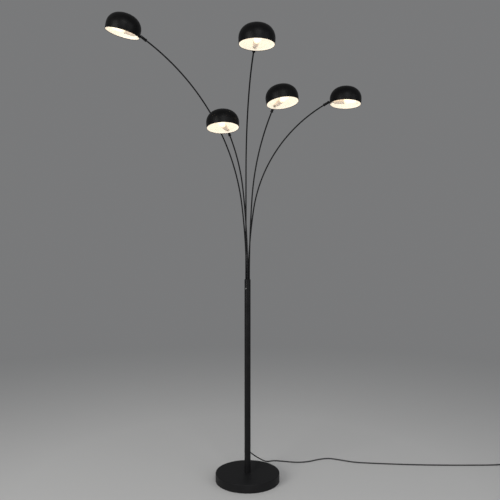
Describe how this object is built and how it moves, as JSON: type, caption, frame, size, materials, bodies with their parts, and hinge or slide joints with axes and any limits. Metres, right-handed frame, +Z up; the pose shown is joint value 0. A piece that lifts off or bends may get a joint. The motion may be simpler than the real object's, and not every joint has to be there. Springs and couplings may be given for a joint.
{
  "type": "tree floor lamp",
  "caption": "Tree floor lamp: bowed arms rise from one pole on a round base and carry half-round shades on knuckles, with a mains cord, foot switch and plug.",
  "frame": {"origin": "centre of the round base's underside, on the floor", "axes": "+Z up along the pole, the front of the lamp towards -Y, +X to the right seen from the front"},
  "size_m": [2.0157, 0.7748, 1.9865],
  "materials": {
    "base_coat": "matte black powder coat",
    "tube_coat": "satin black powder coat",
    "shade_coat": "matte black outside, white inside",
    "fitting_coat": "satin black",
    "cast_plate": "rough cast",
    "pad": "soft foam rubber",
    "plated_steel": "zinc plated",
    "screw_steel": "blackened",
    "black_plastic": "matte",
    "white_plastic": "matte",
    "holder_plastic": "warm white moulding",
    "bulb_glass": "frosted glass, lit",
    "cord_jacket": "matte black cord",
    "plug_plastic": "moulded, fine grain",
    "button_plastic": "moulded",
    "pin_metal": "nickel plated"
  },
  "bodies": {
    "root": {"base_cover": "base_coat", "base_weight": "cast_plate", "base_pad": "pad", "pole_spigot": "plated_steel", "spigot_nut": "plated_steel", "pole": "tube_coat", "arm_holder": "tube_coat", "holder_screw": "screw_steel", "cable_bushing": "black_plastic", "terminal_block": "white_plastic", "mains_cord": "cord_jacket", "cord_coil": "cord_jacket", "plug_body": "plug_plastic", "plug_pins": "pin_metal", "switch_body": "plug_plastic"},
    "arm_1": {"arm_tube_1": "tube_coat", "knuckle_lower_1": "fitting_coat", "knuckle_screw_1": "screw_steel"},
    "knuckle_1": {"knuckle_upper_1": "fitting_coat", "shade_nut_1": "screw_steel", "lampholder_1": "holder_plastic", "bulb_1": "bulb_glass"},
    "head_1": {"shade_1": "shade_coat"},
    "arm_2": {"arm_tube_2": "tube_coat", "knuckle_lower_2": "fitting_coat", "knuckle_screw_2": "screw_steel"},
    "knuckle_2": {"knuckle_upper_2": "fitting_coat", "shade_nut_2": "screw_steel", "lampholder_2": "holder_plastic", "bulb_2": "bulb_glass"},
    "head_2": {"shade_2": "shade_coat"},
    "arm_3": {"arm_tube_3": "tube_coat", "knuckle_lower_3": "fitting_coat", "knuckle_screw_3": "screw_steel"},
    "knuckle_3": {"knuckle_upper_3": "fitting_coat", "shade_nut_3": "screw_steel", "lampholder_3": "holder_plastic", "bulb_3": "bulb_glass"},
    "head_3": {"shade_3": "shade_coat"},
    "arm_4": {"arm_tube_4": "tube_coat", "knuckle_lower_4": "fitting_coat", "knuckle_screw_4": "screw_steel"},
    "knuckle_4": {"knuckle_upper_4": "fitting_coat", "shade_nut_4": "screw_steel", "lampholder_4": "holder_plastic", "bulb_4": "bulb_glass"},
    "head_4": {"shade_4": "shade_coat"},
    "arm_5": {"arm_tube_5": "tube_coat", "knuckle_lower_5": "fitting_coat", "knuckle_screw_5": "screw_steel"},
    "knuckle_5": {"knuckle_upper_5": "fitting_coat", "shade_nut_5": "screw_steel", "lampholder_5": "holder_plastic", "bulb_5": "bulb_glass"},
    "head_5": {"shade_5": "shade_coat"},
    "button": {"switch_button": "button_plastic"}
  },
  "joints": [
    {"name": "arm_swing_1", "type": "hinge", "parent": "root", "child": "arm_1", "pos_m": [-0.00549, 0.00609, 0.862], "axis": [0, 0, 1], "range_deg": [-35, 5]},
    {"name": "head_tilt_1", "type": "hinge", "parent": "arm_1", "child": "knuckle_1", "pos_m": [-0.42814, -0.28547, 1.90867], "axis": [0.5115, -0.8504, -0.1231], "range_deg": [-40, 40]},
    {"name": "shade_turn_1", "type": "hinge", "parent": "knuckle_1", "child": "head_1", "pos_m": [-0.49325, -0.32648, 1.92141], "axis": [-0.8348, -0.5257, 0.1633], "range_deg": [-20, 20]},
    {"name": "arm_swing_2", "type": "hinge", "parent": "root", "child": "arm_2", "pos_m": [-0.00749, -0.00333, 0.862], "axis": [0, 0, 1], "range_deg": [-15, 20]},
    {"name": "head_tilt_2", "type": "hinge", "parent": "arm_2", "child": "knuckle_2", "pos_m": [0.02807, -0.36607, 1.83503], "axis": [0.9904, 0.1162, 0.0751], "range_deg": [-40, 40]},
    {"name": "shade_turn_2", "type": "hinge", "parent": "knuckle_2", "child": "head_2", "pos_m": [0.03717, -0.44353, 1.8349], "axis": [0.1167, -0.9932, -0.0017], "range_deg": [-20, 20]},
    {"name": "arm_swing_3", "type": "hinge", "parent": "root", "child": "arm_3", "pos_m": [0.00086, -0.00816, 0.862], "axis": [0, 0, 1], "range_deg": [-5, 20]},
    {"name": "head_tilt_3", "type": "hinge", "parent": "arm_3", "child": "knuckle_3", "pos_m": [-0.08519, -0.09915, 1.56896], "axis": [0.935, -0.2008, 0.2924], "range_deg": [-20, 35]},
    {"name": "shade_turn_3", "type": "hinge", "parent": "knuckle_3", "child": "head_3", "pos_m": [-0.10443, -0.17407, 1.579], "axis": [-0.2466, -0.9605, 0.1288], "range_deg": [-20, 20]},
    {"name": "arm_swing_4", "type": "hinge", "parent": "root", "child": "arm_4", "pos_m": [0.00802, -0.0017, 0.862], "axis": [0, 0, 1], "range_deg": [-20, 20]},
    {"name": "head_tilt_4", "type": "hinge", "parent": "arm_4", "child": "knuckle_4", "pos_m": [0.11409, -0.1063, 1.67098], "axis": [0.8943, 0.3939, -0.2122], "range_deg": [-40, 35]},
    {"name": "shade_turn_4", "type": "hinge", "parent": "knuckle_4", "child": "head_4", "pos_m": [0.14767, -0.17547, 1.68412], "axis": [0.4306, -0.8867, 0.1685], "range_deg": [-20, 20]},
    {"name": "arm_swing_5", "type": "hinge", "parent": "root", "child": "arm_5", "pos_m": [0.0041, 0.0071, 0.862], "axis": [0, 0, 1], "range_deg": [-15, 40]},
    {"name": "head_tilt_5", "type": "hinge", "parent": "arm_5", "child": "knuckle_5", "pos_m": [0.36437, -0.02568, 1.71204], "axis": [0.3319, 0.8376, -0.4339], "range_deg": [-40, 40]},
    {"name": "shade_turn_5", "type": "hinge", "parent": "knuckle_5", "child": "head_5", "pos_m": [0.43668, -0.0549, 1.71095], "axis": [0.9271, -0.3746, -0.014], "range_deg": [-20, 20]},
    {"name": "button_press", "type": "slide", "parent": "root", "child": "button", "axis": [0, 0, 1], "range_m": [-0.003, 0], "stiffness_N_per_m": 400, "springref_m": 0.001}
  ]
}
